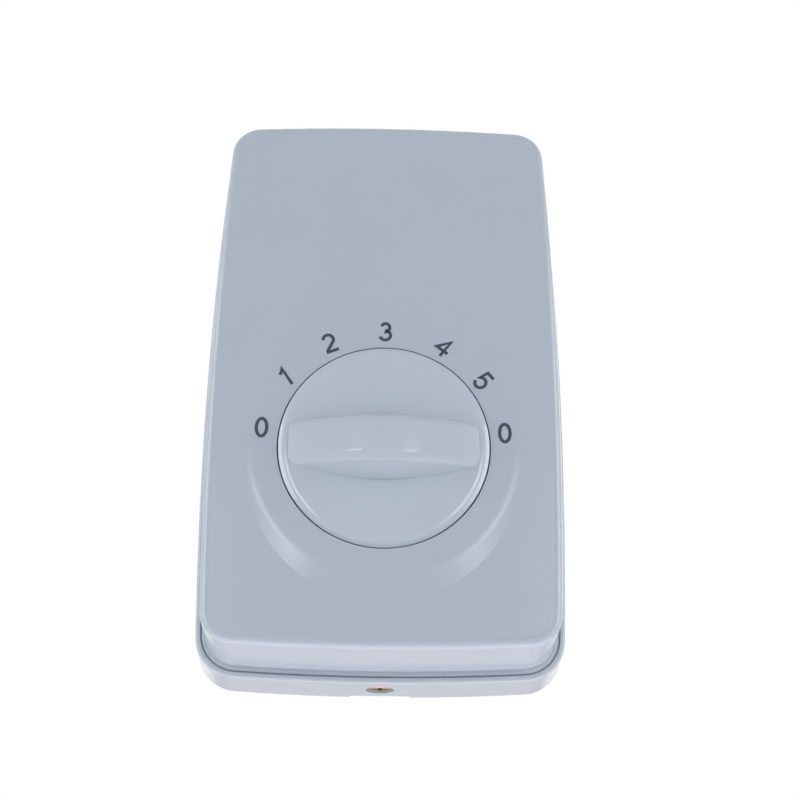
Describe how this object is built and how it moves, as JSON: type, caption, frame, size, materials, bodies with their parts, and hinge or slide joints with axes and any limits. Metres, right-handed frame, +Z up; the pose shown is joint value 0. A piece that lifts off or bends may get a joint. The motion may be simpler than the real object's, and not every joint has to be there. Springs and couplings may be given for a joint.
{
  "type": "fan speed control switch",
  "caption": "Surface-mounted white box with a round selector knob and a numbered dial for setting the speed of a fan, with a rotary switch and a tapped choke inside.",
  "frame": {"origin": "on the back plane, midway between the two wall-fixing holes", "axes": "+X to the right seen from the room, +Y into the wall, +Z up; the front faces -Y"},
  "size_m": [0.0798, 0.0353, 0.1271],
  "materials": {
    "box_plastic": "glossy moulded",
    "knob_plastic": "glossy moulded",
    "zinc_screw": "yellow zinc plated",
    "spring_steel": "rolled",
    "turned_steel": "turned",
    "brass": "turned and stamped",
    "plated_sheet": "zinc plated sheet",
    "dark_phenolic": "moulded",
    "laminate": "stamped laminate",
    "natural_acetal": "moulded",
    "bronze": "stamped phosphor bronze",
    "silicon_steel": "varnished laminations",
    "bobbin_nylon": "moulded",
    "enamelled_copper": "enamelled wire",
    "polyester_tape": "adhesive tape",
    "terminal_plastic": "moulded",
    "lead_pvc": "extruded insulation",
    "supply_pvc": "extruded insulation",
    "fan_pvc": "extruded insulation"
  },
  "bodies": {
    "housing": {"base": "box_plastic", "cover": "box_plastic", "cover_screw": "zinc_screw", "switch_front_plate": "plated_sheet", "bushing_nut": "brass", "lock_washer": "spring_steel", "switch_housing": "dark_phenolic", "contact_plate": "laminate", "speed_contacts": "brass", "common_contact": "brass", "detent_spring": "spring_steel", "switch_rivets": "brass", "mounting_plate": "plated_sheet", "plate_screws": "zinc_screw", "core_e_stack": "silicon_steel", "core_i_stack": "silicon_steel", "bobbin": "bobbin_nylon", "winding": "enamelled_copper", "winding_tape": "polyester_tape", "core_bracket": "plated_sheet", "bracket_screws": "zinc_screw", "terminal_block": "terminal_plastic", "terminal_clamps": "brass", "terminal_screws": "zinc_screw", "terminal_fixing_screw": "zinc_screw", "tap_leads": "lead_pvc", "supply_lead": "supply_pvc", "fan_lead": "fan_pvc"},
    "selector": {"knob": "knob_plastic", "knob_clip": "spring_steel", "switch_shaft": "turned_steel", "circlip": "spring_steel", "contact_rotor": "natural_acetal", "wiper": "bronze", "detent_wheel": "plated_sheet"}
  },
  "joints": [
    {"name": "knob_turn", "type": "hinge", "parent": "housing", "child": "selector", "pos_m": [0, -0.03, -0.018], "axis": [0, -1, 0], "continuous": true, "deforming": ["detent_spring"]}
  ]
}
